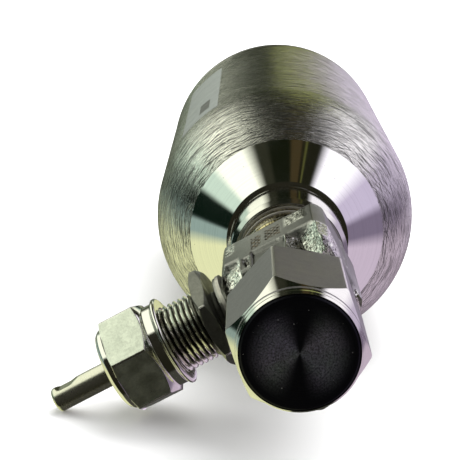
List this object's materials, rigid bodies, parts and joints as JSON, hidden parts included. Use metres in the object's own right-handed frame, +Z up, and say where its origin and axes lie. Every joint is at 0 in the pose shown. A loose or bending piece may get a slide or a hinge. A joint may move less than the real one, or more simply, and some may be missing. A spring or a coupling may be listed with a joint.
{
  "type": "gas sample cylinder",
  "caption": "Small stainless steel gas cylinder with a polished cone and neck, a forged needle valve with a bare stem at the side, and a hexagon cap nut closing its outlet.",
  "frame": {"origin": "on the cylinder's axis, halfway along its straight wall", "axes": "+Y along the cylinder's axis towards its base, valve towards -Y; +Z up when it lies on its wall and the end of its valve stem; the side port points -X and down"},
  "size_m": [0.0657, 0.1636, 0.0508],
  "materials": {
    "brushed_shell": "long circumferential brushing",
    "polished_cone": "mirror polished stainless steel",
    "turned_steel": "turned and polished stainless steel",
    "forged_steel": "as-forged stainless steel, machined faces",
    "satin_nut": "satin flats, bright chamfers",
    "dark_disc": "black, finely turned face",
    "gasket_metal": "annealed washer",
    "seal_white": "fluoropolymer",
    "label_film": "aged pale film"
  },
  "bodies": {
    "vessel": {"cylinder_shell": "brushed_shell", "front_cone": "polished_cone", "base_head": "brushed_shell", "neck_boss": "turned_steel", "info_label": "label_film", "valve_body": "forged_steel", "inlet_gasket": "gasket_metal", "inlet_filter": "gasket_metal", "outage_tube": "turned_steel", "seat_insert": "seal_white", "bonnet": "satin_nut", "bonnet_gasket": "gasket_metal", "stem_guide": "seal_white", "packing_lower": "seal_white", "packing_upper": "seal_white"},
    "needle": {"stem_lower": "turned_steel", "needle_tip": "turned_steel"},
    "spindle": {"stem_upper": "turned_steel", "stem_clip": "turned_steel"},
    "gland": {"packing_gland": "turned_steel"},
    "packing_nut": {"packing_nut": "satin_nut", "nut_lip_ring": "turned_steel"},
    "plug": {"blind_plug": "turned_steel", "outlet_gasket": "gasket_metal"},
    "outlet_nut": {"outlet_nut": "satin_nut", "end_disc": "dark_disc"}
  },
  "joints": [
    {"name": "stem_lift", "type": "slide", "parent": "vessel", "child": "needle", "axis": [-0.8567, 0, -0.5158], "range_m": [-0.00199, 0]},
    {"name": "stem_turn", "type": "hinge", "parent": "needle", "child": "spindle", "pos_m": [-0.0257, -0.081, -0.01547], "axis": [-0.8567, 0, -0.5158], "range_deg": [-1440, 0]},
    {"name": "gland_lift", "type": "slide", "parent": "vessel", "child": "gland", "axis": [-0.8567, 0, -0.5158], "range_m": [0, 0.00118]},
    {"name": "packing_nut_turn", "type": "hinge", "parent": "gland", "child": "packing_nut", "pos_m": [-0.02484, -0.081, -0.01496], "axis": [-0.8567, 0, -0.5158], "range_deg": [0, 450]},
    {"name": "plug_slide", "type": "slide", "parent": "vessel", "child": "plug", "axis": [0, -1, 0], "range_m": [0, 0.00704]},
    {"name": "outlet_nut_turn", "type": "hinge", "parent": "plug", "child": "outlet_nut", "pos_m": [0, -0.11, 0], "axis": [0, -1, 0], "range_deg": [0, 1800]}
  ],
  "couplings": [
    {"joint": "stem_turn", "follows": "stem_lift", "rad_per_m": 12566},
    {"joint": "packing_nut_turn", "follows": "gland_lift", "rad_per_m": 6613.9},
    {"joint": "outlet_nut_turn", "follows": "plug_slide", "rad_per_m": 4456.2}
  ]
}
